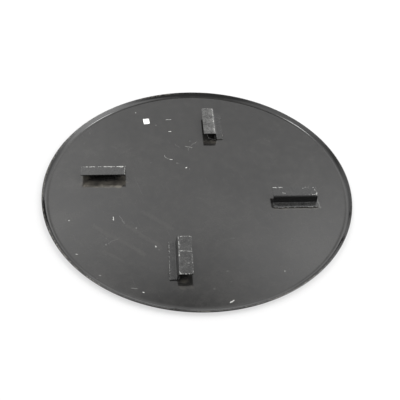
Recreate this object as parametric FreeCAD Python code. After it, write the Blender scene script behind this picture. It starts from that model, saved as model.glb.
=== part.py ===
import FreeCAD, Part
import math
import os

# Float pan for a walk-behind power trowel with four blades.
# A round sheet-steel pan with a low turned-up rim carries four folded clips. The rotor's blades
# stand on the pan's floor and slide under the clips' top flanges, and the webs then drive the pan.
# Frame: +Z up, origin at the pan's centre on its underside. Lengths are in millimetres.

# Driving dimensions: the pan
SHEET = 3.0                # thickness of the pan's steel sheet
RIM_TOP_RADIUS = 469.0     # inner corner of the rim's top edge
RIM_HEIGHT = 16.0          # height of that corner above the underside
RIM_SLOPE = 50.0           # slope of the rim's straight part, in degrees from the floor
RIM_BEND = 18.0            # bend radius between floor and rim, on the upper face
RIM_EDGE_ROUND = 0.6       # rounding of the rim's cut edge

# Driving dimensions: the clips, each drawn as if it pointed along +X from the centre
CLIP_SHEET = 3.0           # thickness of the clips' steel strip
CLIP_BEND = 2.5            # inner bend radius of both folds
CLIP_INNER = 223.0         # distance from the pan's centre to the clip's inner end
CLIP_LENGTH = 134.5        # length of the clip along the pan's radius
CLIP_HEIGHT = 26.6         # overall height above the floor
WEB_OFFSET = 72.8          # distance from the radial centre line to the web's outer corner, at its top
WEB_LEAN = 4.0             # how much further out the web's foot stands than its top
TOP_FLANGE = 40.0          # overall width of the top flange, which reaches over the blade
BASE_FLANGE = 23.5         # distance from the web's outer corner at its top to the base flange's edge

# Driving dimensions: the weld beads
POCKET_BEAD_RADIUS = 5.0   # bead in the groove at the web's foot, inside the pocket
POCKET_BEAD_LENGTH = 22.0
POCKET_BEAD_INSET = 1.5    # distance from the clip's end to the bead's end
POCKET_BEAD_ROOT = 2.0     # how far the bead reaches in under the fold
EDGE_BEAD_RADIUS = 3.2     # stitch along the base flange's outer edge
EDGE_BEAD_LENGTH = 16.0
EDGE_BEAD_INSET = 13.0

# Driving dimensions: the sticker
LABEL_WIDTH = 20.0
LABEL_HEIGHT = 28.0
LABEL_THICKNESS = 0.3
LABEL_CORNER = 1.0
LABEL_X = -157.0
LABEL_Y = 322.0
LABEL_TURN = 8.0           # degrees about +Z

# Worked out from the driving dimensions
FLOOR = SHEET
CLIP_OUTER = CLIP_INNER + CLIP_LENGTH
CLIP_TOP = FLOOR + CLIP_HEIGHT
OUTER_CORNER = -WEB_OFFSET
OPEN_EDGE = OUTER_CORNER + TOP_FLANGE
BASE_EDGE = OUTER_CORNER - BASE_FLANGE
# The web leans: its two faces stand parallel, and each end of a face lies where a flange's face meets it.
WEB_TILT = math.atan(WEB_LEAN / (CLIP_HEIGHT - CLIP_SHEET))
WEB_ACROSS = CLIP_SHEET / math.cos(WEB_TILT)
LEAN_IN_SHEET = CLIP_SHEET * math.tan(WEB_TILT)
POCKET_TOP = OUTER_CORNER + WEB_ACROSS - LEAN_IN_SHEET
POCKET_FOOT = POCKET_TOP - WEB_LEAN
BACK_FOOT = OUTER_CORNER - WEB_LEAN

# The four clips and the direction in which each one points, in degrees from +X
CLIP_TURNS = {"right": 0.0, "back": 90.0, "left": 180.0, "front": 270.0}


def rounded_outline(corners):
    """Closed wire through (x, z, radius) corners in the XZ plane, with a tangent arc at each round one."""
    count = len(corners)
    entries = []
    for index in range(count):
        x, z, radius = corners[index]
        corner = FreeCAD.Vector(x, 0.0, z)
        before = FreeCAD.Vector(corners[index - 1][0], 0.0, corners[index - 1][1])
        after = FreeCAD.Vector(corners[(index + 1) % count][0], 0.0, corners[(index + 1) % count][1])
        if radius <= 0.0:
            entries.append((corner, None, corner))
            continue
        to_before = (before - corner).normalize()
        to_after = (after - corner).normalize()
        half_angle = to_before.getAngle(to_after) / 2.0
        setback = radius / math.tan(half_angle)
        bisector = (to_before + to_after).normalize()
        middle = corner + bisector * (radius / math.sin(half_angle) - radius)
        entries.append((corner + to_before * setback, middle, corner + to_after * setback))
    edges = []
    for index in range(count):
        start, middle, end = entries[index]
        if middle is not None:
            edges.append(Part.Arc(start, middle, end).toShape())
        next_start = entries[(index + 1) % count][0]
        if end.distanceToPoint(next_start) > 1e-6:
            edges.append(Part.LineSegment(end, next_start).toShape())
    return Part.Wire(edges)


def make_pan():
    """The pan: floor, bend and rim in one sheet, turned about +Z."""
    slope = math.radians(RIM_SLOPE)
    # The bend's corner on the upper face is where the floor and the rim's slope would meet.
    corner_radius = RIM_TOP_RADIUS - (RIM_HEIGHT - FLOOR) / math.tan(slope)
    # The lower face runs parallel to the upper one, one sheet thickness below it.
    lower_corner = corner_radius + SHEET * math.tan(slope / 2.0)
    outer_radius = RIM_TOP_RADIUS + SHEET * math.sin(slope)
    outer_height = RIM_HEIGHT - SHEET * math.cos(slope)
    section = rounded_outline([
        (0.0, 0.0, 0.0),
        (lower_corner, 0.0, RIM_BEND + SHEET),
        (outer_radius, outer_height, RIM_EDGE_ROUND),
        (RIM_TOP_RADIUS, RIM_HEIGHT, RIM_EDGE_ROUND),
        (corner_radius, FLOOR, RIM_BEND),
        (0.0, FLOOR, 0.0),
    ])
    return Part.Face(section).revolve(FreeCAD.Vector(0, 0, 0), FreeCAD.Vector(0, 0, 1), 360.0)


def make_clip():
    """One clip: a strip folded twice, with its base flange away from the pocket and its web leaning."""
    outer_bend = CLIP_BEND + CLIP_SHEET
    # In this section the first number is the offset from the radial centre line.
    section = rounded_outline([
        (BASE_EDGE, FLOOR, 0.0),
        (POCKET_FOOT, FLOOR, outer_bend),
        (POCKET_TOP, CLIP_TOP - CLIP_SHEET, CLIP_BEND),
        (OPEN_EDGE, CLIP_TOP - CLIP_SHEET, 0.0),
        (OPEN_EDGE, CLIP_TOP, 0.0),
        (OUTER_CORNER, CLIP_TOP, outer_bend),
        (BACK_FOOT, FLOOR + CLIP_SHEET, CLIP_BEND),
        (BASE_EDGE, FLOOR + CLIP_SHEET, 0.0),
    ])
    strip = Part.Face(section).extrude(FreeCAD.Vector(0, CLIP_LENGTH, 0))
    # The section's X becomes the clip's tangential Y, and its length lies along +X.
    strip.rotate(FreeCAD.Vector(0, 0, 0), FreeCAD.Vector(0, 0, 1), 90.0)
    strip.translate(FreeCAD.Vector(CLIP_OUTER, 0, 0))
    return strip


def make_bead(clip, corner, radius, start, length, low, high):
    """A weld bead along the floor at one offset: a round-ended rod, kept above the floor and
    between two offsets, with the clip's own metal taken out of it."""
    half_round = rounded_outline([
        (start, 0.0, 0.0),
        (start, radius, radius),
        (start + length, radius, radius),
        (start + length, 0.0, 0.0),
    ])
    rod = Part.Face(half_round).revolve(FreeCAD.Vector(0, 0, 0), FreeCAD.Vector(1, 0, 0), 360.0)
    rod.translate(FreeCAD.Vector(0, corner, FLOOR))
    # The room stands clear of the rod's round sides and ends, so that it cuts only where it should.
    room = Part.makeBox(2.0 * length, high - low, 2.0 * radius,
                        FreeCAD.Vector(start - length / 2.0, low, FLOOR))
    return rod.common(room).cut(clip)


def make_beads(clip):
    """The four weld beads of one clip, by name."""
    pocket_starts = {
        "inner": CLIP_INNER + POCKET_BEAD_INSET,
        "outer": CLIP_OUTER - POCKET_BEAD_INSET - POCKET_BEAD_LENGTH,
    }
    edge_starts = {
        "inner": CLIP_INNER + EDGE_BEAD_INSET,
        "outer": CLIP_OUTER - EDGE_BEAD_INSET - EDGE_BEAD_LENGTH,
    }
    beads = {}
    for end, start in pocket_starts.items():
        beads["pocket_" + end] = make_bead(clip, POCKET_FOOT, POCKET_BEAD_RADIUS, start, POCKET_BEAD_LENGTH,
                                           POCKET_FOOT - POCKET_BEAD_ROOT,
                                           POCKET_FOOT + 2.0 * POCKET_BEAD_RADIUS)
    for end, start in edge_starts.items():
        beads["edge_" + end] = make_bead(clip, BASE_EDGE, EDGE_BEAD_RADIUS, start, EDGE_BEAD_LENGTH,
                                         BASE_EDGE - 2.0 * EDGE_BEAD_RADIUS, BASE_EDGE)
    return beads


def make_label():
    """The paper sticker, flat on the floor."""
    half_width = LABEL_WIDTH / 2.0
    half_height = LABEL_HEIGHT / 2.0
    outline = rounded_outline([
        (-half_width, -half_height, LABEL_CORNER),
        (half_width, -half_height, LABEL_CORNER),
        (half_width, half_height, LABEL_CORNER),
        (-half_width, half_height, LABEL_CORNER),
    ])
    sheet = Part.Face(outline).extrude(FreeCAD.Vector(0, LABEL_THICKNESS, 0))
    # The outline is drawn upright, so it is laid down before it is turned and placed.
    sheet.rotate(FreeCAD.Vector(0, 0, 0), FreeCAD.Vector(1, 0, 0), 90.0)
    sheet.rotate(FreeCAD.Vector(0, 0, 0), FreeCAD.Vector(0, 0, 1), LABEL_TURN)
    sheet.translate(FreeCAD.Vector(LABEL_X, LABEL_Y, FLOOR))
    return sheet


def turned(shape, degrees):
    """A copy of a shape, turned about +Z."""
    copy = shape.copy()
    copy.rotate(FreeCAD.Vector(0, 0, 0), FreeCAD.Vector(0, 0, 1), degrees)
    return copy


def make_nodes():
    """Every sub-part, by node name."""
    nodes = {"pan_disc": make_pan(), "label": make_label()}
    clip = make_clip()
    beads = make_beads(clip)
    for side, degrees in CLIP_TURNS.items():
        nodes["clip_" + side] = turned(clip, degrees)
        for bead_name, bead in beads.items():
            nodes["weld_" + side + "_" + bead_name] = turned(bead, degrees)
    return nodes


os.makedirs("parts", exist_ok=True)
for node, shape in make_nodes().items():
    print(node, "solids", len(shape.Solids), "valid", shape.isValid(), "volume", round(shape.Volume, 1))
    shape.exportStep("parts/" + node + ".step")
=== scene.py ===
"""Looks of a power trowel's float pan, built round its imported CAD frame.

The pan is one pressed sheet-steel disc in glossy black enamel, dusty and scratched from use. Four
folded clips with worn edges are welded to it, and a blank paper sticker lies on its floor.
Everything is in metres in the CAD's own frame. Sizes that are written out are in millimetres.
"""

import math
from math import cos, pi, radians, sin

import bpy
import numpy as np
from mathutils import Matrix, Vector, noise


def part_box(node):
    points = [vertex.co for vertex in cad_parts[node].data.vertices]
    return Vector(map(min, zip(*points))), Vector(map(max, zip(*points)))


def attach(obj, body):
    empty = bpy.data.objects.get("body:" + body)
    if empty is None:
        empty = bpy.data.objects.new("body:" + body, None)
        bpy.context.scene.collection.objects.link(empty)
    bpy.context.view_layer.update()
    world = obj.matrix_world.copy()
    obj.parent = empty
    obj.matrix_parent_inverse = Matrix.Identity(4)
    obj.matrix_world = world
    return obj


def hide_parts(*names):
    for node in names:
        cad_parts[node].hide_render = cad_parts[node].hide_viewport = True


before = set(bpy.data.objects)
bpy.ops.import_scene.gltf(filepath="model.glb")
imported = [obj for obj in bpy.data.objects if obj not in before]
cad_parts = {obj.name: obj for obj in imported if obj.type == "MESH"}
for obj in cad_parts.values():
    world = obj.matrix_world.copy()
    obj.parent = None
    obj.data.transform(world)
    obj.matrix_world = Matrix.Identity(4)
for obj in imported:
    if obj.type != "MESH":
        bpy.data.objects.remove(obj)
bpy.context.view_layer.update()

MM = 0.001

# Edges and heights that the CAD nodes give, in millimetres
CLIP_LOW, CLIP_HIGH = [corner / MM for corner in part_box("clip_right")]
LABEL_LOW, LABEL_HIGH = [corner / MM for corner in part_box("label")]
POCKET_BEAD_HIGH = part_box("weld_right_pocket_inner")[1] / MM
EDGE_BEAD_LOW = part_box("weld_right_edge_inner")[0] / MM
FLOOR = LABEL_LOW.z
SHEET = FLOOR

# The rim's section
RIM_SLOPE = 50.0
RIM_BEND = 18.0
RIM_TOP_RADIUS = 469.0
RIM_HEIGHT = 16.0
RIM_EDGE_ROUND = 0.6

# The pan's mesh: points round a ring, rings on the floor and underside, steps round the bend,
# shares of the rim's slope that get a ring, and all the rings on top
PAN_SEGMENTS = 480
FLOOR_RINGS = 84
UNDER_RINGS = 12
BEND_STEPS = 14
SLOPE_SHARES = (0.35, 0.7, 0.9, 1.0)
UPPER_RINGS = FLOOR_RINGS + BEND_STEPS + len(SLOPE_SHARES)

# The clips' section. The web leans, with its foot further out than its top.
CLIP_SHEET = 3.0
CLIP_BEND = 2.5
CLIP_EDGE_ROUND = 0.45
WEB_LEAN = 4.0
TOP_FLANGE = 40.0
WEB_TILT = math.atan(WEB_LEAN / (CLIP_HIGH.z - FLOOR - CLIP_SHEET))
OUTER_CORNER = CLIP_HIGH.y - TOP_FLANGE

# The clips' mesh: steps round each fold, along the length and round a cut edge's two corners
FOLD_STEPS = 8
CLIP_STEPS = 110
CORNER_STEPS = 4
EDGE_POINTS = 2 * CORNER_STEPS

# The weld beads: radius in the pocket, depth of the roots in the floor, a pool's length, and mesh steps
POCKET_BEAD_RADIUS = 5.0
BEAD_ROOT = 0.3
POOL_LENGTH = 2.3
BEAD_STEPS = 40

# Where the lip is rubbed: direction and half width in degrees, and strength
LIP_WEAR = [
    (293, 34, 0.8), (219, 26, 0.9), (262, 20, 0.45), (170, 40, 0.35), (104, 12, 0.5),
]

# The direction in which each clip points, in degrees from +X
CLIP_TURNS = {"right": 0.0, "back": 90.0, "left": 180.0, "front": 270.0}

# The sticker: turn about +Z in degrees, size in mm and squares of its mesh
LABEL_TURN = 8.0
LABEL_WIDTH, LABEL_HEIGHT = 20.0, 28.0
LABEL_COLUMNS, LABEL_ROWS = 24, 32


# ---- meshes

def smooth_step(low, high, value):
    """0 below low, 1 above high, and a smooth rise between them."""
    share = min(1.0, max(0.0, (value - low) / (high - low)))
    return share * share * (3.0 - 2.0 * share)


def wobble(x, y, z, size, seed):
    """Smooth noise from about -1 to 1, with lumps of the given size in millimetres."""
    return noise.noise(Vector((x / size + 13.7 * seed, y / size - 7.1 * seed, z / size + 3.3 * seed)))


def turned(u, v, z, degrees):
    """A clip's own coordinates (outward, counter-clockwise, up) as a point in the frame, in mm."""
    angle = radians(degrees)
    x = u * cos(angle) - v * sin(angle)
    y = u * sin(angle) + v * cos(angle)
    return (x, y, z)


def segment_mask(point, start, end, half_width):
    """1 on a line from start to end, falling to 0 at the half width."""
    px, py = point[0] - start[0], point[1] - start[1]
    dx, dy = end[0] - start[0], end[1] - start[1]
    share = min(1.0, max(0.0, (px * dx + py * dy) / (dx * dx + dy * dy)))
    gap = math.hypot(px - dx * share, py - dy * share)
    return 1.0 - smooth_step(0.35 * half_width, half_width, gap)


def place_object(name, data):
    """A new object in the scene."""
    made = bpy.data.objects.new(name, data)
    bpy.context.scene.collection.objects.link(made)
    return made


def ring_faces(rings, count, flipped=False):
    """Quads between neighbouring closed rings of points."""
    faces = []
    for ring in range(rings - 1):
        a, b = ring * count, (ring + 1) * count
        for index in range(count):
            after = (index + 1) % count
            quad = (a + index, b + index, b + after, a + after)
            faces.append((quad[0], quad[3], quad[2], quad[1]) if flipped else quad)
    return faces


def cap_faces(centre, first, count, upward):
    """Triangles from a centre point to a closed ring."""
    faces = []
    for index in range(count):
        here, there = first + index, first + (index + 1) % count
        faces.append((centre, here, there) if upward else (centre, there, here))
    return faces


def make_piece(name, points, faces, material, nodes, sharp=60.0, values=None):
    """A mesh object from points in millimetres. It rides on the root body and replaces CAD nodes."""
    mesh = bpy.data.meshes.new(name)
    mesh.from_pydata([[c * MM for c in point] for point in points], [], faces)
    mesh.validate()
    for attribute_name, numbers in (values or {}).items():
        attribute = mesh.attributes.new(attribute_name, "FLOAT", "POINT")
        attribute.data.foreach_set("value", np.array(numbers, np.float32))
    mesh.shade_smooth()
    mesh.set_sharp_from_angle(angle=radians(sharp))
    mesh.materials.append(material)
    piece = place_object(name, mesh)
    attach(piece, "root")
    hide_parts(*nodes)
    return piece


# ---- the pan

# Brown dirt caught beside the clips: start, end, half width in mm, and strength
DIRT = [
    ((-350, 24), (-228, 24), 14, 0.2), ((-344, 10), (-238, 8), 8, 0.52),
    ((-346, 44), (-344, 44), 16, 0.4), ((-236, 44), (-234, 44), 15, 0.28),
    ((-352, 22), (-338, 24), 14, 0.3), ((40, 212), (68, 212), 12, 0.16),
    ((-70, -362), (-50, -360), 7, 0.14),
    ((-66, -382), (-40, -382), 8, 0.1), ((230, -96), (350, -98), 10, 0.18),
]

# Broad soft streaks across the floor: points in mm, half width in mm, and strength
STREAKS = [
    ([(102, 94), (119, 84)], 7.5, 0.26),
    ([(-215, -155), (-195, -172), (-178, -184)], 7, 0.55),
    ([(-175, -192), (-152, -208), (-126, -228), (-120, -246)], 7, 0.55),
    ([(-311, -151), (-266, -191), (-239, -205), (-205, -232), (-165, -264)], 8, 0.64),
    ([(-276, -249), (-220, -289)], 6, 0.47),
    ([(-365, -194), (-334, -232)], 6, 0.39),
    ([(-172, -101), (-155, -112), (-120, -140), (-84, -172)], 9, 0.39),
    ([(236, 222), (252, 210)], 7.5, 0.39),
    ([(-275, 198), (-258, 188)], 6, 0.26),
]

# Hazy wiped patches: x, y, radius in mm, and strength
HAZE = [
    (-134, 225, 34, 0.25), (-90, 150, 60, 0.18), (-330, 170, 60, 0.2), (-372, 15, 60, 0.35),
    (-230, -215, 70, 0.25), (-400, -120, 60, 0.3), (-330, -210, 60, 0.2), (230, 215, 50, 0.15),
    (380, 100, 50, 0.18), (120, -240, 50, 0.15), (95, -355, 40, 0.25), (-280, -200, 40, 0.2),
    (40, 330, 60, 0.12), (330, -260, 70, 0.2),
]


def bend_points(bend_start, radius):
    """Points round the bend between floor and rim, on its upper or its lower face."""
    points = []
    for index in range(BEND_STEPS + 1):
        angle = radians(RIM_SLOPE) * index / BEND_STEPS
        height = FLOOR + RIM_BEND - radius * cos(angle)
        points.append((bend_start + radius * sin(angle), height, 0.0))
    return points


def rim_corner(top, along, across, inner):
    """The inner or outer rounded corner of the rim's cut edge."""
    inward = RIM_EDGE_ROUND if inner else SHEET - RIM_EDGE_ROUND
    centre = (top[0] - along[0] * RIM_EDGE_ROUND + across[0] * inward,
              top[1] - along[1] * RIM_EDGE_ROUND + across[1] * inward)
    points = []
    for step in range(1, 5):
        angle = radians(90.0 * (step if inner else step - 1) / 4.0)
        # A turn of 90 degrees looks back at the inner face, 0 along the sheet, and -90 outwards.
        turn = pi / 2.0 - angle if inner else -angle
        out = (along[0] * cos(turn) - across[0] * sin(turn),
               along[1] * cos(turn) - across[1] * sin(turn))
        points.append((centre[0] + out[0] * RIM_EDGE_ROUND, centre[1] + out[1] * RIM_EDGE_ROUND,
                       1.0 if inner and step < 4 else 0.0))
    return points


def pan_profile():
    """The pan's section as (radius, height, lip) points, from the top's centre round to the underside's."""
    slope = radians(RIM_SLOPE)
    corner = RIM_TOP_RADIUS - (RIM_HEIGHT - FLOOR) / math.tan(slope)
    bend_start = corner - RIM_BEND * math.tan(slope / 2.0)
    along = (cos(slope), sin(slope))
    across = (sin(slope), -cos(slope))
    top = (RIM_TOP_RADIUS, RIM_HEIGHT)
    profile = [(bend_start * index / FLOOR_RINGS, FLOOR, 0.0) for index in range(1, FLOOR_RINGS)]
    profile += bend_points(bend_start, RIM_BEND)
    bend_end = profile[-1]
    lip_length = math.hypot(top[0] - bend_end[0], top[1] - bend_end[1]) - RIM_EDGE_ROUND
    for share in SLOPE_SHARES:
        run = lip_length * share
        profile.append((bend_end[0] + along[0] * run, bend_end[1] + along[1] * run,
                        smooth_step(0.3, 0.85, share)))
    profile += rim_corner(top, along, across, True) + rim_corner(top, along, across, False)
    outer = (top[0] + across[0] * SHEET, top[1] + across[1] * SHEET)
    for run in (RIM_EDGE_ROUND, 3.0, 5.5):
        profile.append((outer[0] - along[0] * run, outer[1] - along[1] * run, 0.0))
    profile += reversed(bend_points(bend_start, RIM_BEND + SHEET))
    profile += [(bend_start * index / UNDER_RINGS, 0.0, 0.0) for index in range(UNDER_RINGS - 1, 0, -1)]
    return profile


def lip_rubbing(degrees):
    """How much the lip is rubbed in a direction."""
    total = 0.1
    for centre, half_width, strength in LIP_WEAR:
        gap = abs((degrees - centre + 180.0) % 360.0 - 180.0)
        total += strength * (1.0 - smooth_step(0.4 * half_width, half_width, gap))
    return min(1.0, total)


def settled_dirt(x, y):
    """How much brown dirt and how much haze lies at a place on the pan's floor."""
    nudge = 5.0 * wobble(x, y, 0, 9.0, 11)
    dirt = max(strength * segment_mask((x + nudge, y - nudge), start, end, half_width)
               for start, end, half_width, strength in DIRT)
    haze = max(strength * (1.0 - smooth_step(0.0, radius, math.hypot(x - across, y - up)))
               for across, up, radius, strength in HAZE)
    place = (x + 0.4 * nudge, y - 0.4 * nudge)
    for line, half_width, strength in STREAKS:
        for start, end in zip(line, line[1:]):
            haze = max(haze, strength * segment_mask(place, start, end, half_width))
    return dirt, haze


def pan_point(x, y, radius, height, lip):
    """A point of the pan, with the slight waves of the sheet and small knocks on the lip."""
    wave = 0.16 * wobble(x, y, 0, 170.0, 1) + 0.05 * wobble(x, y, 0, 60.0, 2)
    share = smooth_step(440.0, 465.0, radius)
    # The underside stays flat on the ground.
    lift = wave * (1.0 - share) if height > 0.5 * SHEET else 0.0
    knock = smooth_step(0.35, 0.7, wobble(x, y, 0, 22.0, 3)) * 0.25 * lip
    shrink = 1.0 - 0.0003 * (1.0 + wobble(x, y, 0, 260.0, 4)) * share
    sag = 0.12 * smooth_step(8.0, RIM_HEIGHT, height)
    return (x * shrink, y * shrink, height + lift - knock - sag)


def make_pan(material):
    """The disc with its turned-up rim, with its wear and dirt kept on its points."""
    profile = pan_profile()
    points, lips, settled, dirts, hazes = [], [], [], [], []
    for ring, (radius, height, lip) in enumerate(profile):
        upper = ring < UPPER_RINGS
        for index in range(PAN_SEGMENTS):
            angle = 2.0 * pi * index / PAN_SEGMENTS
            x, y = radius * cos(angle), radius * sin(angle)
            points.append(pan_point(x, y, radius, height, lip))
            lips.append(lip * lip_rubbing(math.degrees(angle)))
            settled.append(1.0 - 0.9 * smooth_step(3.5, 9.0, height) if upper else 0.0)
            dirt, haze = settled_dirt(x, y) if upper else (0.0, 0.0)
            dirts.append(dirt)
            hazes.append(haze)
    faces = ring_faces(len(profile), PAN_SEGMENTS)
    for ring, upward in ((0, True), (len(profile) - 1, False)):
        first = ring * PAN_SEGMENTS
        faces += cap_faces(len(points), first, PAN_SEGMENTS, upward)
        points.append((0.0, 0.0, points[first][2]))
        settled.append(1.0 if upward else 0.0)
        for numbers in (lips, dirts, hazes):
            numbers.append(0.0)
    values = {"lip": lips, "settled": settled, "dirt": dirts, "haze": hazes}
    return make_piece("float_pan", points, faces, material, ["pan_disc"], values=values)


# ---- the clips

def web_back(z):
    """Where the back of the leaning web is at a height, if it ran on straight."""
    return OUTER_CORNER - (CLIP_HIGH.z - z) * math.tan(WEB_TILT)


def straight_run(start, end, spacing):
    """Points along a straight part of the strip, each with its left normal."""
    length = math.hypot(end[0] - start[0], end[1] - start[1])
    steps = max(1, round(length / spacing))
    run = []
    for step in range(steps):
        share = (step + 0.5) / steps
        run.append((start[0] + (end[0] - start[0]) * share, start[1] + (end[1] - start[1]) * share,
                    -(end[1] - start[1]) / length, (end[0] - start[0]) / length))
    return run


def fold_run(centre, radius, from_degrees, to_degrees, sign):
    """Points round a fold of the strip, each with its left normal."""
    run = []
    for step in range(FOLD_STEPS + 1):
        angle = radians(from_degrees + (to_degrees - from_degrees) * step / FOLD_STEPS)
        out = (cos(angle), sin(angle))
        run.append((centre[0] + radius * out[0], centre[1] + radius * out[1], sign * out[0], sign * out[1]))
    return run


def strip_line():
    """Points along the middle of the folded strip: (across, up, left normal across, left normal up)."""
    bend = CLIP_BEND + CLIP_SHEET / 2.0
    low = FLOOR + CLIP_SHEET / 2.0
    high = CLIP_HIGH.z - CLIP_SHEET / 2.0
    half_across = CLIP_SHEET / 2.0 / cos(WEB_TILT)
    setback = bend * math.tan((pi / 2.0 - WEB_TILT) / 2.0)
    foot_centre = (web_back(low) + half_across - setback, low + bend)
    top_centre = (web_back(high) + half_across + setback, high - bend)
    web_start = (foot_centre[0] + bend * cos(WEB_TILT), foot_centre[1] - bend * sin(WEB_TILT))
    web_end = (top_centre[0] - bend * cos(WEB_TILT), top_centre[1] + bend * sin(WEB_TILT))
    tilt = math.degrees(WEB_TILT)
    base_edge = CLIP_LOW.y + CLIP_EDGE_ROUND
    open_edge = CLIP_HIGH.y - CLIP_EDGE_ROUND
    line = [(base_edge, low, 0.0, 1.0)]
    line += straight_run((base_edge, low), (foot_centre[0], low), 1.4)
    line += fold_run(foot_centre, bend, -90.0, -tilt, -1.0)
    line += straight_run(web_start, web_end, 1.6)
    line += fold_run(top_centre, bend, 180.0 - tilt, 90.0, 1.0)
    line += straight_run((top_centre[0], high), (open_edge, high), 1.2)
    line.append((open_edge, high, 0.0, 1.0))
    return line


def strip_outline():
    """The strip's closed section as (across, up, normal across, normal up) points, and the line's count."""
    line = strip_line()
    half = CLIP_SHEET / 2.0
    outline = []
    for across, up, normal_across, normal_up in line:
        outline.append((across + half * normal_across, up + half * normal_up, normal_across, normal_up))
    outline += sheared_edge(line[-1], 1.0, 0.0)
    for across, up, normal_across, normal_up in reversed(line):
        outline.append((across - half * normal_across, up - half * normal_up, -normal_across, -normal_up))
    outline += sheared_edge(line[0], -1.0, 180.0)
    return outline, len(line)


def sheared_edge(line_point, side, facing):
    """The strip's cut edge, facing a direction in degrees: two rounded corners, the given side's first."""
    points = []
    turn = 90.0 / CORNER_STEPS
    for corner_side, start in ((side, facing + 90.0 - turn), (-side, facing)):
        centre_up = line_point[1] + corner_side * (CLIP_SHEET / 2.0 - CLIP_EDGE_ROUND)
        for step in range(CORNER_STEPS):
            angle = radians(start - turn * step)
            normal = (cos(angle), sin(angle))
            points.append((line_point[0] + CLIP_EDGE_ROUND * normal[0],
                           centre_up + CLIP_EDGE_ROUND * normal[1], normal[0], normal[1]))
    return points


def clip_stations():
    """(distance from the inner end, inset) pairs along a clip: rounded ends and an even run between."""
    length = CLIP_HIGH.x - CLIP_LOW.x
    rounded = []
    for degrees in (0.0, 30.0, 60.0, 90.0):
        angle = radians(degrees)
        run, inset = 1.0 - cos(angle), 1.0 - sin(angle)
        rounded.append((CLIP_EDGE_ROUND * run, CLIP_EDGE_ROUND * inset))
    stations = list(rounded)
    inner, outer = CLIP_EDGE_ROUND, length - CLIP_EDGE_ROUND
    for step in range(1, CLIP_STEPS):
        stations.append((inner + (outer - inner) * step / CLIP_STEPS, 0.0))
    stations += [(length - run, inset) for run, inset in reversed(rounded)]
    return stations


# How each clip is worn. "tone" is the light scuffing on top and "mottle" how patchy it is, "band" adds
# scuffing towards the web, and "base" and "ends" are the scuffing on the base flange and its end faces.
# "specks" is how much of the top is rubbed bare in small specks.
# "web" is a broken bare line along the web's top corner (start, end, strength, coverage), and the other
# edges are strengths. "marks" are bare strokes: start, end, half width and strength. Lengths are in mm
# from the clip's inner end and outer corner.
CLIP_LOOKS = {
    "front": {"tone": 0.06, "mottle": 0.75, "band": 0.02, "base": 0.05, "ends": 0, "specks": 0.2,
              "web": (0, 92, 0.58, 0.5), "open": 0.5, "inner": 0.62, "outer": 0.62, "base_edge": 0.55,
              "marks": [((53, 5), (54.5, 21), 2.1, 0.5), ((54, 20), (56, 39), 2.1, 0.55),
                        ((96, 24), (97, 30), 2.4, 0.4), ((124, 2), (133, 5), 2.6, 0.5)]},
    "back": {"tone": 0.17, "mottle": 0.8, "band": 0.1, "base": 0.05, "ends": 0.5, "specks": 0.12,
             "web": (4, 124, 0.66, 0.6), "open": 0.1, "inner": 0.3, "outer": 0.6, "base_edge": 0.3,
             "marks": [((126, 2), (131, 8), 3.5, 0.5), ((128, 14), (130, 26), 3, 0.42),
                       ((12, 5), (30, 7), 3, 0.36), ((62, 5), (70, 8), 3.2, 0.36)]},
    "left": {"tone": 0.072, "mottle": 0.2, "band": 0, "base": 0.03, "ends": 0, "specks": 0.05,
             "web": (-4, 138, 0.72, 0.45), "open": 0.08, "inner": 0.66, "outer": 0.3, "base_edge": 0.2,
             "marks": [((6, 3.5), (24, 4.5), 3.2, 0.66), ((10, 7.5), (14, 9), 2.8, 0.5),
                       ((40, 4), (44, 6.5), 2.6, 0.5), ((56, 4), (60, 6), 2.6, 0.5),
                       ((104, 4), (110, 5), 2.6, 0.5)]},
    "right": {"tone": 0.042, "mottle": 0.25, "band": 0, "base": 0.07, "ends": 0, "specks": 0.1,
              "web": (88, 134, 0.5, 0.4), "open": 0.1, "inner": 0.1, "outer": 0.45, "base_edge": 0.5,
              "marks": [((3, 37.6), (33, 38.2), 2.6, 0.62), ((29, 15), (36, 12), 3.4, 0.5),
                        ((93, 31), (104, 37), 2.2, 0.42), ((111, 36), (117, 26), 2.2, 0.42),
                        ((126, 36), (131, 20), 2.2, 0.45), ((130, 3), (133.5, 11), 3.2, 0.55)]},
}


def edge_line(gap, width):
    """1 on an edge, fading with the distance from it."""
    return math.exp(-(gap / width) ** 2)


def web_rubbing(look, u, from_corner, seed):
    """The broken bare line along the web's top corner."""
    start, end, strength, coverage = look["web"]
    along = smooth_step(start - 3.0, start + 3.0, u) * (1.0 - smooth_step(end - 4.0, end + 4.0, u))
    lumps = 0.5 + 0.9 * wobble(u, 0, 0, 5.5, seed + 2) + 0.5 * wobble(u, 0, 0, 2.6, seed + 3)
    broken = smooth_step(1.0 - coverage - 0.15, 1.0 - coverage + 0.15, lumps)
    ragged = 4.0 + 0.8 * wobble(u, 0, 0, 9.0, seed + 4)
    return strength * along * broken * edge_line(from_corner - ragged, 0.9 + 1.3 * max(0.0, lumps))


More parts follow.
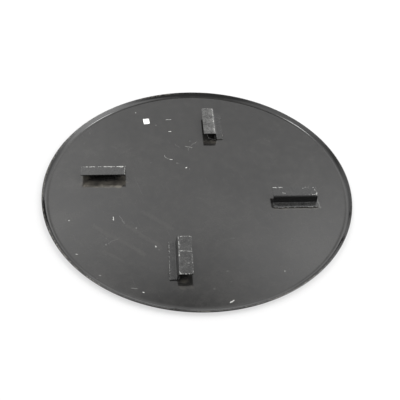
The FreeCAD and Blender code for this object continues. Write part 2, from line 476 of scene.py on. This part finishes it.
def clip_wear(look, u, v, z, seed):
    """Bare metal and scuffing at a point of a clip's surface, each from 0 to 1."""
    length = CLIP_HIGH.x - CLIP_LOW.x
    from_corner = v - OUTER_CORNER
    on_top = smooth_step(CLIP_HIGH.z - 2.2, CLIP_HIGH.z - 0.4, z)
    outside = smooth_step(OUTER_CORNER - 3.0, OUTER_CORNER - 6.0, v)
    on_base = outside * smooth_step(FLOOR + 1.0, FLOOR + 2.6, z)
    grain = wobble(u, v, z, 2.6, seed) * 0.6 + wobble(u, v, z, 7.0, seed + 1) * 0.5
    uneven = smooth_step(-0.5, 0.1, grain)
    lines = [
        look["specks"] * on_top,
        web_rubbing(look, u, from_corner, seed) * on_top,
        look["open"] * edge_line(CLIP_HIGH.y - v, 1.8) * on_top * uneven,
        look["inner"] * edge_line(u, 2.3) * on_top * uneven,
        look["outer"] * edge_line(length - u, 2.3) * on_top * uneven,
        look["base_edge"] * edge_line(v - CLIP_LOW.y, 1.8) * on_base * uneven,
    ]
    for start, end, half_width, strength in look["marks"]:
        mask = segment_mask((u, from_corner), start, end, half_width)
        lines.append(strength * mask * on_top * smooth_step(-0.9, -0.2, grain))
    patches = 0.8 * wobble(u, v, 0, 17.0, seed + 6) + 0.6 * wobble(u, v, 0, 6.0, seed + 8) + 0.4 * grain
    scuff = look["tone"] * (1.0 + look["mottle"] * patches) + look["band"] * math.exp(-from_corner / 12.0)
    base_scuff = look["base"] * on_base * (1.0 + 0.9 * patches)
    end_scuff = look["ends"] if min(u, length - u) < 0.02 and v < OUTER_CORNER - 4.0 else 0.0
    return max(lines), max(0.02, scuff * on_top, base_scuff, end_scuff)


def clip_point(run, v, z, seed):
    """A point of a clip in its own coordinates, with the top flange's slight droop and dents."""
    over_blade = smooth_step(0.0, 1.0, (v - OUTER_CORNER) / TOP_FLANGE)
    reach = over_blade * smooth_step(FLOOR + 8.0, CLIP_HIGH.z - 4.0, z)
    droop = reach * (0.35 + 0.3 * wobble(run, 0, 0, 60.0, seed))
    on_flange = smooth_step(CLIP_HIGH.z - 4.0, CLIP_HIGH.z - 3.0, z)
    dent = 0.12 * abs(wobble(run, v, z, 16.0, seed + 7)) * on_flange
    return (CLIP_LOW.x + run, v, z - droop - dent)


def clip_faces(stations, count, rail):
    """A clip's sides, then its ends, each closed from one face of the strip to the other."""
    faces = ring_faces(stations, count, flipped=True)
    for base, outward in ((0, False), ((stations - 1) * count, True)):
        back = base + 2 * rail + EDGE_POINTS - 1
        for index in range(rail - 1):
            quad = (base + index, base + index + 1, back - index - 1, back - index)
            faces.append(quad if outward else quad[::-1])
        tip = range(base + rail - 1, base + rail + EDGE_POINTS + 1)
        root = list(range(back, back + EDGE_POINTS + 1)) + [base]
        for loop in (tip, root):
            faces.append(tuple(reversed(loop)) if outward else tuple(loop))
    return faces


def make_clip(side, material, seed):
    """One folded clip, very slightly uneven, with its wear kept on its points."""
    outline, rail = strip_outline()
    stations = clip_stations()
    points, bare_values, scuff_values = [], [], []
    for run, inset in stations:
        for across, up, normal_across, normal_up in outline:
            v = across - normal_across * inset
            z = up - normal_up * inset
            bare, scuff = clip_wear(CLIP_LOOKS[side], run, v, z, seed)
            points.append(turned(*clip_point(run, v, z, seed), CLIP_TURNS[side]))
            bare_values.append(bare)
            scuff_values.append(scuff)
    faces = clip_faces(len(stations), len(outline), rail)
    return make_piece("clip_" + side + "_folded", points, faces, material,
                      ["clip_" + side], sharp=50.0, values={"bare": bare_values, "scuff": scuff_values})


# ---- the weld beads

def bead_size(share, length, run, seed):
    """How thick a bead is at a share of its length: rippled, and thin at both ends."""
    envelope = math.sqrt(max(0.0, 1.0 - abs(2.0 * share - 1.0) ** 3.0)) * 0.92 + 0.08
    pool = abs(sin(pi * (share * length / POOL_LENGTH + 0.15 * wobble(run, 0, 0, 5.0, seed))))
    return envelope * (0.86 + 0.1 * pool + 0.08 * wobble(run, 0, 0, 4.0, seed + 1))


def make_bead(name, node, side, section, box_low, box_high, material, seed):
    """A weld bead with the ripples of its pools, closed at both ends.

    The section gives (across, up, stretch) points: one with a stretch of 1 ripples, and one of 0 stays."""
    start, end = box_low.x, box_high.x
    length = end - start
    root = section[0]
    points, bead_dirt_and_highlights = [], []
    for station in range(BEAD_STEPS + 1):
        share = station / BEAD_STEPS
        run = start + length * share
        size = bead_size(share, length, run, seed)
        for across, up, stretch in section:
            lump = 1.0 + 0.06 * wobble(run, across * 2.0, up * 2.0, 2.2, seed + 2)
            scale = 1.0 + (min(1.0, size * lump) - 1.0) * stretch
            v = root[0] + (across - root[0]) * scale
            z = root[1] + (up - root[1]) * scale
            points.append(turned(run, v, z, CLIP_TURNS[side]))
            # Light patches on the ripples: partly real dirt, partly a painted highlight
            bead_dirt_and_highlights.append(smooth_step(-0.2, 0.5, wobble(run, v, z, 4.0, seed + 3)) * stretch)
    count = len(section)
    faces = ring_faces(BEAD_STEPS + 1, count)
    faces.append(tuple(range(count)))
    last = BEAD_STEPS * count
    faces.append(tuple(reversed(range(last, last + count))))
    return make_piece(name, points, faces, material, [node], values={"bead_dirt_and_highlight": bead_dirt_and_highlights})


def pocket_section():
    """Section of a bead at the web's foot, in the clip's own coordinates."""
    radius = POCKET_BEAD_RADIUS
    foot = POCKET_BEAD_HIGH.y - radius
    root = FLOOR - BEAD_ROOT
    section = [(foot - 1.0, root, 0.0), (foot - 2.0, root, 0.0), (foot - 1.0, FLOOR + radius, 1.0)]
    for step in range(9):
        angle = radians(90.0 - 90.0 * step / 8.0)
        section.append((foot + radius * cos(angle), FLOOR + radius * sin(angle), 1.0))
    section.append((foot + radius, root, 1.0))
    return section


def edge_section():
    """Section of a stitch on the base flange's outer edge."""
    edge = CLIP_LOW.y
    radius = edge - EDGE_BEAD_LOW.y
    root = FLOOR - BEAD_ROOT
    section = [(edge + 0.6, root, 0.0), (edge - radius, root, 1.0)]
    for step in range(9):
        angle = radians(90.0 * step / 8.0)
        section.append((edge - radius * cos(angle), FLOOR + radius * sin(angle) * 0.95, 1.0))
    section.append((edge + 0.6, FLOOR + 0.9 * CLIP_SHEET, 0.5))
    return section


def make_beads(material):
    """The four beads of each clip."""
    sections = {"pocket": pocket_section(), "edge": edge_section()}
    seed = 40
    for side in CLIP_TURNS:
        for kind, section in sections.items():
            for end in ("inner", "outer"):
                ending = "_" + kind + "_" + end
                low, high = [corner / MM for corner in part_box("weld_right" + ending)]
                make_bead("bead_" + side + ending, "weld_" + side + ending, side, section, low, high,
                          material, seed)
                seed += 5


# ---- the sticker

def label_point(x, y, layer):
    """A point of the sticker in the frame, with its clipped corners, lifted corners and creases."""
    half = (LABEL_WIDTH + LABEL_HEIGHT) / 2.0
    trim = smooth_step(half - 1.6, half, abs(x) + abs(y))
    x -= math.copysign(0.35 * trim, x)
    y -= math.copysign(0.35 * trim, y)
    curl = max(0.0, (x - y) / 24.0 - 0.62) ** 2 * 9.0 + max(0.0, (y + x) / 24.0 - 0.75) ** 2 * 5.0
    crease = 0.05 * (1.0 + wobble(x, y, 0, 5.0, 21))
    thickness = LABEL_HIGH.z - LABEL_LOW.z
    z = FLOOR + 0.05 + thickness * 0.8 * layer + curl + crease
    centre = (LABEL_LOW + LABEL_HIGH) / 2.0
    angle = radians(LABEL_TURN)
    return (centre.x + x * cos(angle) - y * sin(angle),
            centre.y + x * sin(angle) + y * cos(angle), z)


def label_faces():
    """Both sides of the sticker square by square, then the strip round its edge."""
    faces = []
    stride = LABEL_COLUMNS + 1
    layer_size = stride * (LABEL_ROWS + 1)
    for row in range(LABEL_ROWS):
        for column in range(LABEL_COLUMNS):
            corner = row * stride + column
            top = (corner, corner + 1, corner + stride + 1, corner + stride)
            faces.append(top)
            faces.append(tuple(index + layer_size for index in reversed(top)))
    ring = list(range(LABEL_COLUMNS)) + [row * stride + LABEL_COLUMNS for row in range(LABEL_ROWS)]
    ring += [LABEL_ROWS * stride + LABEL_COLUMNS - index for index in range(LABEL_COLUMNS)]
    ring += [(LABEL_ROWS - row) * stride for row in range(LABEL_ROWS)]
    for here, there in zip(ring, ring[1:] + ring[:1]):
        faces.append((here, here + layer_size, there + layer_size, there))
    return faces


def make_label(material):
    """The paper sticker, with two corners coming up a little."""
    points = []
    for layer in (1.0, 0.0):
        for row in range(LABEL_ROWS + 1):
            for column in range(LABEL_COLUMNS + 1):
                x = LABEL_WIDTH * (column / LABEL_COLUMNS - 0.5)
                y = LABEL_HEIGHT * (row / LABEL_ROWS - 0.5)
                points.append(label_point(x, y, layer))
    return make_piece("sticker", points, label_faces(), material, ["label"], sharp=50.0)


# ---- material helpers

class Nodes:
    """Short ways to add nodes to a material or world."""

    def __init__(self, tree):
        self.tree = tree

    def add(self, kind, inputs=None, **settings):
        """A node with settings, and inputs by name or number as values or sockets."""
        node = self.tree.nodes.new(kind)
        for key, value in settings.items():
            setattr(node, key, value)
        for key, value in (inputs or {}).items():
            self.feed(node.inputs[key], value)
        return node

    def feed(self, target, value):
        """Links a socket, or sets a plain value."""
        if isinstance(value, bpy.types.NodeSocket):
            self.tree.links.new(value, target)
        else:
            target.default_value = value

    def math(self, operation, first, second=0.0):
        """A Math node's result."""
        return self.add("ShaderNodeMath", {0: first, 1: second}, operation=operation).outputs[0]

    def times(self, first, second):
        """A product."""
        return self.math("MULTIPLY", first, second)

    def plus(self, first, second):
        """A sum."""
        return self.math("ADD", first, second)

    def vector(self, operation, first, second):
        """A Vector Math node."""
        return self.add("ShaderNodeVectorMath", {0: first, 1: second}, operation=operation)

    def attribute(self, name):
        """A number kept on the mesh."""
        return self.add("ShaderNodeAttribute", attribute_name=name).outputs["Fac"]

    def finish(self, shader, colour, rough, height, strength, distance):
        """A shader's colour, roughness and bump, with the bump's distance in metres."""
        bump = self.add("ShaderNodeBump", {"Strength": strength, "Distance": distance, "Height": height})
        for name, value in (("Base Color", colour), ("Roughness", rough), ("Normal", bump.outputs[0])):
            self.feed(shader.inputs[name], value)

    def step(self, value, low, high, to_low=0.0, to_high=1.0):
        """A smooth step from to_low at low to to_high at high."""
        node = self.add("ShaderNodeMapRange", {"Value": value, "From Min": low, "From Max": high,
                                               "To Min": to_low, "To Max": to_high},
                        interpolation_type="SMOOTHSTEP")
        return node.outputs["Result"]

    def noise(self, position, scale, detail=3.0, roughness=0.55, distortion=0.0):
        """Noise from about 0 to 1."""
        node = self.add("ShaderNodeTexNoise", {"Vector": position, "Scale": scale, "Detail": detail,
                                               "Roughness": roughness, "Distortion": distortion})
        return node.outputs["Fac"]

    def blend(self, share, first, second):
        """A mix of two colours."""
        node = self.add("ShaderNodeMix", data_type="RGBA")
        self.feed(node.inputs[0], share)
        self.feed(node.inputs[6], first)
        self.feed(node.inputs[7], second)
        return node.outputs[2]

    def scaled(self, position, factors):
        """A position with each axis scaled."""
        return self.vector("MULTIPLY", position, factors).outputs[0]

    def turned(self, position, degrees):
        """A position turned about +Z."""
        node = self.add("ShaderNodeVectorRotate", {"Vector": position, "Angle": radians(degrees)},
                        rotation_type="Z_AXIS")
        return node.outputs[0]


def new_material(name):
    """A material with only a Principled shader: the material, its nodes and the shader."""
    material = bpy.data.materials.new(name)
    material.use_nodes = True
    tree = material.node_tree
    tree.nodes.clear()
    nodes = Nodes(tree)
    nodes.output = nodes.add("ShaderNodeOutputMaterial")
    shader = nodes.add("ShaderNodeBsdfPrincipled")
    tree.links.new(shader.outputs[0], nodes.output.inputs[0])
    return material, nodes, shader


def object_position(nodes):
    """The point's place in the frame."""
    return nodes.add("ShaderNodeTexCoord").outputs["Object"]


def stroke_group():
    """A node group: 1 on a straight stroke between two points, 0 beyond its half width."""
    tree = bpy.data.node_groups.new("stroke", "ShaderNodeTree")
    for name, kind in (("Position", "NodeSocketVector"), ("Start", "NodeSocketVector"),
                       ("End", "NodeSocketVector"), ("Half Width", "NodeSocketFloat")):
        tree.interface.new_socket(name, in_out="INPUT", socket_type=kind)
    tree.interface.new_socket("Mask", in_out="OUTPUT", socket_type="NodeSocketFloat")
    nodes = Nodes(tree)
    given = nodes.add("NodeGroupInput").outputs
    out = nodes.add("NodeGroupOutput")

    from_start = nodes.vector("SUBTRACT", given["Position"], given["Start"]).outputs[0]
    line = nodes.vector("SUBTRACT", given["End"], given["Start"]).outputs[0]
    along = nodes.vector("DOT_PRODUCT", from_start, line).outputs["Value"]
    whole = nodes.vector("DOT_PRODUCT", line, line).outputs["Value"]
    share = nodes.add("ShaderNodeMath", {0: along, 1: whole}, operation="DIVIDE", use_clamp=True).outputs[0]
    nearest = nodes.add("ShaderNodeVectorMath", {0: line, "Scale": share}, operation="SCALE").outputs[0]
    gap = nodes.vector("DISTANCE", from_start, nearest).outputs["Value"]
    inner = nodes.times(given["Half Width"], 0.25)
    mask = nodes.step(gap, inner, given["Half Width"], 1.0, 0.0)
    tree.links.new(mask, out.inputs[0])
    return tree


# ---- the enamel on the pan

# Scratches on the floor: points in mm, half width in mm, and how light they are
SCRATCHES = [
    ([(-82, 268), (-75, 267)], 2.2, 1),
    ([(-89, 331), (-72, 331)], 1.6, 0.75),
    ([(-62, 202), (-56, 191), (-48, 188)], 1.8, 0.22),
    ([(8, 211), (-4, 203), (-11, 194)], 1.8, 0.32),
    ([(-31, 190), (-14, 187), (-8, 184)], 1.8, 0.5),
    ([(-21, 183), (-20, 170)], 1.8, 0.3),
    ([(-99, 147), (-97, 138), (-88, 131)], 1.8, 0.45),
    ([(-84, 128), (-76, 126)], 1.8, 0.9),
    ([(-254, -120), (-254, -132)], 1.9, 0.95),
    ([(-237, -118), (-227, -136), (-222, -146)], 2.6, 0.27),
    ([(-265, -222), (-256, -213), (-240, -206)], 1.8, 0.28),
    ([(-427, -160), (-427, -168)], 1.6, 0.9),
    ([(-353, -259), (-348, -260)], 1.8, 0.85),
    ([(-286, -334), (-281, -334)], 1.8, 0.5),
    ([(-199, -379), (-184, -382)], 2.3, 0.4),
    ([(-168, -394), (-165, -396)], 2.4, 0.95),
    ([(60, -435), (70, -428)], 2.5, 0.95),
    ([(82, -212), (92, -212)], 2.2, 0.2),
    ([(46, 247), (50, 231), (73, 223)], 2.2, 0.45),
    ([(362, -60), (364, -98)], 4.5, 0.32),
]

# Specks on the floor: x, y, radius in mm, and how light they are
SPECKS = [
    (-125, 301, 4.5, 0.3), (-194, 371, 3.8, 0.7), (-14, 217, 4.5, 0.28), (-60, 110, 4.2, 0.5),
    (-55, 109, 3.6, 0.25), (-32, 88, 4.2, 0.95), (-21, 81, 4.2, 0.3), (-145, 114, 5.5, 0.2),
    (-382, -132, 3.6, 0.9), (-392, -128, 4.6, 0.25), (-187, -166, 4.2, 0.4), (-170, -180, 3.6, 0.15),
    (-132, -237, 4.6, 1), (-123, -250, 4, 0.3), (-272, -226, 4.2, 0.35), (-272, -203, 4.2, 0.2),
    (-291, -218, 4.6, 0.14), (-270, -262, 7, 0.12), (-191, -66, 4.6, 0.12), (220, -335, 4.2, 0.5),
    (212, -320, 4.2, 0.15), (226, -320, 4.2, 0.12), (62, -330, 4.6, 0.25), (68, -367, 4.6, 0.18),
    (22, -388, 4.6, 0.2), (130, -238, 6, 0.1), (355, -222, 5.5, 0.12), (-345, 262, 4.6, 0.18),
    (-360, 212, 5.5, 0.14), (330, 222, 6.5, 0.08), (378, 118, 7, 0.08), (113, 168, 7, 0.1),
    (40, 172, 7, 0.08), (58, 182, 6, 0.08), (128, 170, 7, 0.06), (-290, -345, 4, 0.2),
]


def shaken(nodes, position):
    """A position nudged by noise, so that drawn strokes get uneven edges."""
    shake = nodes.add("ShaderNodeTexNoise", {"Vector": position, "Scale": 160.0, "Detail": 2.0})
    centred = nodes.vector("SUBTRACT", shake.outputs["Color"], (0.5, 0.5, 0.5)).outputs[0]
    offset = nodes.scaled(centred, (0.007, 0.007, 0.0))
    return nodes.vector("ADD", position, offset).outputs[0]


def stroke_mask(nodes, place, group, strokes):
    """The strongest of some strokes, each given as (start, end, half width, strength) in mm."""
    total = None
    for start, end, half_width, strength in strokes:
        node = nodes.add("ShaderNodeGroup", node_tree=group)
        nodes.feed(node.inputs["Position"], place)
        nodes.feed(node.inputs["Start"], (start[0] * MM, start[1] * MM, FLOOR * MM))
        nodes.feed(node.inputs["End"], (end[0] * MM, end[1] * MM, FLOOR * MM))
        nodes.feed(node.inputs["Half Width"], half_width * MM)
        mask = nodes.times(node.outputs[0], strength)
        total = mask if total is None else nodes.math("MAXIMUM", total, mask)
    return total


def mark_mask(nodes, position):
    """A mask for the scratches and specks on the pan's floor."""
    group = stroke_group()
    place = shaken(nodes, position)
    strokes = []
    for line, half_width, strength in SCRATCHES:
        strokes += [(start, end, half_width, strength) for start, end in zip(line, line[1:])]
    marks = stroke_mask(nodes, place, group, strokes)
    for x, y, radius, strength in SPECKS:
        gap = nodes.vector("DISTANCE", place, (x * MM, y * MM, FLOOR * MM)).outputs["Value"]
        mask = nodes.step(gap, 0.2 * radius * MM, radius * MM, strength, 0.0)
        marks = nodes.math("MAXIMUM", marks, mask)
    return marks


def hairlines(nodes, position):
    """Fine scratches in a few directions, broken up by noise."""
    lines = None
    for degrees, scale, seed in ((24.0, 900.0, 0.0), (-38.0, 700.0, 3.1), (71.0, 800.0, 7.7)):
        turned_place = nodes.turned(position, degrees)
        moved = nodes.vector("ADD", turned_place, (seed, seed, 0.0)).outputs[0]
        stretched = nodes.scaled(moved, (0.012, 1.0, 1.0))
        streak = nodes.noise(stretched, scale, 1.0, 0.4)
        thin = nodes.step(streak, 0.66, 0.74)
        patch = nodes.step(nodes.noise(moved, 14.0, 2.0), 0.5, 0.68)
        mask = nodes.times(thin, patch)
        lines = mask if lines is None else nodes.math("MAXIMUM", lines, mask)
    return lines


# Colours of the paint, what lies on it and what shows through it
ENAMEL = (0.0058, 0.0058, 0.0060, 1.0)
DUST = (0.087, 0.083, 0.076, 1.0)
SCUFF = (0.24, 0.24, 0.23, 1.0)
CHIP = (0.5, 0.5, 0.48, 1.0)
LIP_STEEL = (0.27, 0.255, 0.22, 1.0)
GRIME = (0.16, 0.145, 0.12, 1.0)
# Light brown on the weld beads: partly real rust-brown dirt, partly a painted highlight where the beads
# catch light
WELD_DIRT_AND_HIGHLIGHT = (0.12, 0.1, 0.078, 1.0)
PAPER = (0.86, 0.86, 0.84, 1.0)
PAPER_STAIN = (0.62, 0.6, 0.55, 1.0)
PAPER_FIBRE = (0.7, 0.69, 0.66, 1.0)


def dust_film(nodes, position, haze):
    """How thick the dust lies on the pan, and the clouds in it."""
    broad = nodes.noise(position, 5.0, 4.0, 0.6, 0.4)
    cloud = nodes.noise(position, 38.0, 5.0, 0.62)
    grain = nodes.noise(position, 1400.0, 2.0)
    settled = nodes.attribute("settled")
    film = nodes.plus(nodes.step(broad, 0.3, 0.7, 0.058, 0.118), nodes.step(cloud, 0.35, 0.7, 0.0, 0.06))
    film = nodes.plus(film, nodes.times(haze, 0.2))
    film = nodes.times(film, nodes.step(grain, 0.2, 0.8, 0.7, 1.3))
    return nodes.times(film, settled), cloud


# The pan's material is close to the size that Cycles can run: a few more nodes turn the pan black.
def pan_enamel():
    """Glossy black enamel under a film of dust, with wiped haze, scratches and a rubbed lip."""
    material, nodes, shader = new_material("pan_enamel_look")
    position = object_position(nodes)
    marks = mark_mask(nodes, position)
    dirt = nodes.attribute("dirt")
    haze = nodes.attribute("haze")
    lines = hairlines(nodes, position)
    film, cloud = dust_film(nodes, position, haze)
    colour = nodes.blend(film, ENAMEL, DUST)
    colour = nodes.blend(nodes.times(lines, 0.05), colour, SCUFF)
    caked = nodes.times(dirt, nodes.step(cloud, 0.3, 0.65, 0.3, 1.1))
    colour = nodes.blend(caked, colour, GRIME)
    colour = nodes.blend(nodes.times(marks, marks), colour, CHIP)
    lip = nodes.attribute("lip")
    lip_noise = nodes.noise(position, 170.0, 4.0, 0.65)
    lip_wear = nodes.times(lip, nodes.step(lip_noise, 0.45, 0.6))
    colour = nodes.blend(nodes.times(lip_wear, 0.75), colour, LIP_STEEL)
    rough = nodes.step(cloud, 0.3, 0.75, 0.08, 0.14)
    for wear, added in ((haze, 0.1), (marks, 0.35), (caked, 0.4), (lip_wear, 0.2)):
        rough = nodes.plus(rough, nodes.times(wear, added))
    # The marks stay out of the relief: a bump works its whole input out three times over.
    peel = nodes.noise(position, 330.0, 2.0, 0.5)
    fine = nodes.noise(position, 1800.0, 2.0, 0.5)
    relief = nodes.plus(nodes.times(peel, 0.6), nodes.times(fine, 0.12))
    nodes.finish(shader, colour, rough, relief, 0.15, 0.0001)
    return material


def clip_enamel():
    """The clips' enamel: scuffed lighter on top, and rubbed through to bare metal on the edges."""
    material, nodes, shader = new_material("clip_enamel_look")
    position = object_position(nodes)
    bare = nodes.attribute("bare")
    scuff = nodes.attribute("scuff")
    medium = nodes.noise(position, 400.0, 4.0, 0.65)
    fine = nodes.noise(position, 700.0, 3.0, 0.6)
    lines = hairlines(nodes, position)
    scuffed = nodes.times(scuff, nodes.step(medium, 0.3, 0.7, 0.3, 1.7))
    scuffed = nodes.plus(scuffed, nodes.times(lines, 0.06))
    colour = nodes.blend(scuffed, ENAMEL, SCUFF)
    # More of the grain is rubbed through where the mesh says the metal is barer.
    rubbed = nodes.plus(fine, nodes.times(nodes.math("SUBTRACT", bare, 0.5), 0.5))
    rubbed = nodes.step(rubbed, 0.5, 0.57)
    rubbed = nodes.times(rubbed, nodes.step(bare, 0.03, 0.12))
    colour = nodes.blend(rubbed, colour, CHIP)
    rough = nodes.plus(nodes.step(medium, 0.3, 0.7, 0.14, 0.24), nodes.times(scuffed, 0.4))
    rough = nodes.plus(rough, nodes.times(rubbed, 0.2))
    relief = nodes.math("SUBTRACT", nodes.noise(position, 260.0, 3.0), nodes.times(rubbed, 0.5))
    relief = nodes.math("SUBTRACT", relief, nodes.times(lines, 0.2))
    nodes.finish(shader, colour, rough, relief, 0.4, 0.0002)
    return material


def weld_enamel():
    """Painted weld metal: pitted, with rust-brown dirt and dust in patches on the ripples, lightened partly
    as a painted highlight where the beads catch light.
    """
    material, nodes, shader = new_material("weld_enamel_look")
    position = object_position(nodes)
    bead_dirt_and_highlight = nodes.attribute("bead_dirt_and_highlight")
    coarse = nodes.noise(position, 260.0, 4.0, 0.65)
    pits = nodes.noise(position, 900.0, 3.0, 0.6)
    # These patches are partly rust-brown dirt and partly a painted highlight, lightened where the beads
    # catch light
    dirt = nodes.times(bead_dirt_and_highlight, nodes.step(coarse, 0.42, 0.62))
    colour = nodes.blend(nodes.times(dirt, 0.45), ENAMEL, WELD_DIRT_AND_HIGHLIGHT)
    grains = nodes.times(nodes.step(pits, 0.55, 0.7), 0.5)
    colour = nodes.blend(nodes.times(dirt, grains), colour, SCUFF)
    rough = nodes.step(coarse, 0.3, 0.7, 0.28, 0.6)
    relief = nodes.plus(coarse, nodes.times(pits, 0.4))
    nodes.finish(shader, colour, rough, relief, 0.6, 0.0003)
    return material


def label_paper():
    """White paper with a little grime in patches and the fibres of the sheet."""
    material, nodes, shader = new_material("label_paper_look")
    position = object_position(nodes)
    stain = nodes.noise(position, 130.0, 4.0, 0.6)
    fibre = nodes.noise(nodes.scaled(position, (1.0, 0.35, 1.0)), 2600.0, 3.0, 0.6)
    colour = nodes.blend(nodes.step(stain, 0.5, 0.75), PAPER, PAPER_STAIN)
    colour = nodes.blend(nodes.step(fibre, 0.5, 0.8, 0.0, 0.2), colour, PAPER_FIBRE)
    rough = nodes.step(stain, 0.3, 0.7, 0.55, 0.75)
    nodes.finish(shader, colour, rough, fibre, 0.3, 0.00008)
    return material


# ---- the studio

# Soft lamps and reflectors round the object: azimuth from +Y towards +X, elevation, core and edge
# angles in degrees, and the brightness at the core. A gap with a negative brightness takes light away.
LAMPS = [
    (-64.0, 60.0, 2.0, 8.0, 13.0),  # left lamp
    (-92.0, 46.0, 11.0, 40.0, 1.7),  # left wall
    (72.0, 58.0, 2.0, 7.5, 13.0),  # right lamp
    (94.0, 50.0, 6.0, 34.0, 3.1),  # right softbox
    (106.0, 11.0, 9.0, 48.0, 2.5),  # right wall
    (28.0, 54.0, 1.0, 14.0, 0.86),  # glow behind, right
    (-10.0, 55.0, 3.0, 12.5, 0.69),  # glow behind, left
    (12.0, 46.0, 7.0, 28.0, -0.68),  # dim gap behind
    (7.0, 25.0, 5.0, 27.0, -0.76),  # dim gap behind, low
    (6.5, 51.0, 1.0, 7.0, 0.3),  # glow behind, high
    (0.5, 61.0, 1.0, 17.0, -1.2),  # dim gap behind, high
    (4.0, 60.0, 2.0, 8.5, -0.9),  # dim gap above
    (-61.0, 36.0, 6.0, 24.0, -1.2),  # dim gap on the left
]

# The studio's brightness behind the object and behind the camera, its share at the horizon, and its least
BACK_LIGHT = 2.79
FRONT_LIGHT = 0.47
HORIZON_SHARE = 0.27
DARKEST = 0.12

# A glow low behind the object, in the same form as a lamp. It fades out higher up.
LOW_GLOW = (10.0, 5.0, 20.0, 42.0, 1.0)

# The table: how far it lies under the pan in mm, how light it is and how much it glows
TABLE_DROP = 0.3
TABLE_TONE = 0.245
TABLE_GLOW = 0.58
TABLE_RINGS = (0.6, 1.2, 3.0, 8.0, 30.0)
TABLE_SEGMENTS = 64


def lamp_light(nodes, direction, lamp):
    """The brightness that one soft lamp adds in a direction."""
    azimuth, elevation, core, edge = [radians(degrees) for degrees in lamp[:4]]
    towards = (sin(azimuth) * cos(elevation), cos(azimuth) * cos(elevation),
               sin(elevation))
    facing = nodes.vector("DOT_PRODUCT", direction, towards).outputs["Value"]
    return nodes.step(facing, cos(edge), cos(core), 0.0, lamp[4])


def make_world():
    """A white studio: a bright back, a dim side behind the camera, and soft lamps left and right."""
    world = bpy.data.worlds.new("studio")
    bpy.context.scene.world = world
    world.use_nodes = True
    world.node_tree.nodes.clear()
    nodes = Nodes(world.node_tree)
    direction = nodes.add("ShaderNodeTexCoord").outputs["Generated"]
    axes = nodes.add("ShaderNodeSeparateXYZ", {0: direction}).outputs
    light = nodes.step(axes["Y"], 0.0, 0.79, FRONT_LIGHT, BACK_LIGHT)
    light = nodes.times(light, nodes.step(axes["Z"], -0.1, 0.81, HORIZON_SHARE, 1.0))
    low_down = nodes.step(axes["Z"], 0.3, 0.58, 1.0, 0.0)
    light = nodes.plus(light, nodes.times(low_down, lamp_light(nodes, direction, LOW_GLOW)))
    for lamp in LAMPS:
        light = nodes.plus(light, lamp_light(nodes, direction, lamp))
    light = nodes.math("MAXIMUM", light, DARKEST)
    background = nodes.add("ShaderNodeBackground", {"Color": (1.0, 1.0, 1.0, 1.0), "Strength": light})
    output = nodes.add("ShaderNodeOutputWorld")
    world.node_tree.links.new(background.outputs[0], output.inputs[0])


def make_floor():
    """The white table under the pan, clear from below. It isn't part of the object."""
    points = []
    for radius in TABLE_RINGS:
        for index in range(TABLE_SEGMENTS):
            angle = 2.0 * pi * index / TABLE_SEGMENTS
            points.append((radius * cos(angle), radius * sin(angle), -TABLE_DROP * MM))
    faces = [tuple(range(TABLE_SEGMENTS))] + ring_faces(len(TABLE_RINGS), TABLE_SEGMENTS)
    mesh = bpy.data.meshes.new("studio_floor")
    mesh.from_pydata(points, [], faces)
    material, nodes, shader = new_material("studio_floor")
    looks = {"Base Color": (TABLE_TONE, TABLE_TONE, TABLE_TONE, 1.0), "Emission Color": (1.0, 1.0, 1.0, 1.0),
             "Emission Strength": TABLE_GLOW, "Roughness": 1.0, "Specular IOR Level": 0.0}
    for name, value in looks.items():
        nodes.feed(shader.inputs[name], value)
    underneath = nodes.add("ShaderNodeNewGeometry").outputs["Backfacing"]
    clear = nodes.add("ShaderNodeBsdfTransparent").outputs[0]
    one_sided = nodes.add("ShaderNodeMixShader", {0: underneath, 1: shader.outputs[0], 2: clear})
    nodes.feed(nodes.output.inputs[0], one_sided.outputs[0])
    mesh.materials.append(material)
    place_object("studio_floor", mesh)


def make_camera():
    """The photograph's viewpoint: about 45 degrees above the floor, a little rolled."""
    location = Vector((-0.1327, -1.4157, 1.3938))
    target = Vector((0.0037, -0.0579, 0.003))
    roll = radians(3.1)
    ahead = (target - location).normalized()
    level = ahead.cross(Vector((0.0, 0.0, 1.0))).normalized()
    upright = level.cross(ahead)
    right = level * cos(roll) + upright * sin(roll)
    up = upright * cos(roll) - level * sin(roll)
    data = bpy.data.cameras.new("camera")
    data.sensor_width = 36.0
    data.lens = 58.05
    data.shift_x = -0.0004
    data.shift_y = 0.0005
    data.clip_start = 0.05
    data.clip_end = 100.0
    camera = place_object("camera", data)
    rotation = Matrix((right, up, -ahead)).transposed().to_4x4()
    camera.matrix_world = Matrix.Translation(location) @ rotation
    bpy.context.scene.camera = camera


# ---- the whole scene

make_pan(pan_enamel())
clip_material = clip_enamel()
for number, side_name in enumerate(CLIP_TURNS):
    make_clip(side_name, clip_material, 100 + 10 * number)
make_beads(weld_enamel())
make_label(label_paper())
make_world()
make_floor()
make_camera()
bpy.context.scene.view_settings.view_transform = "Standard"
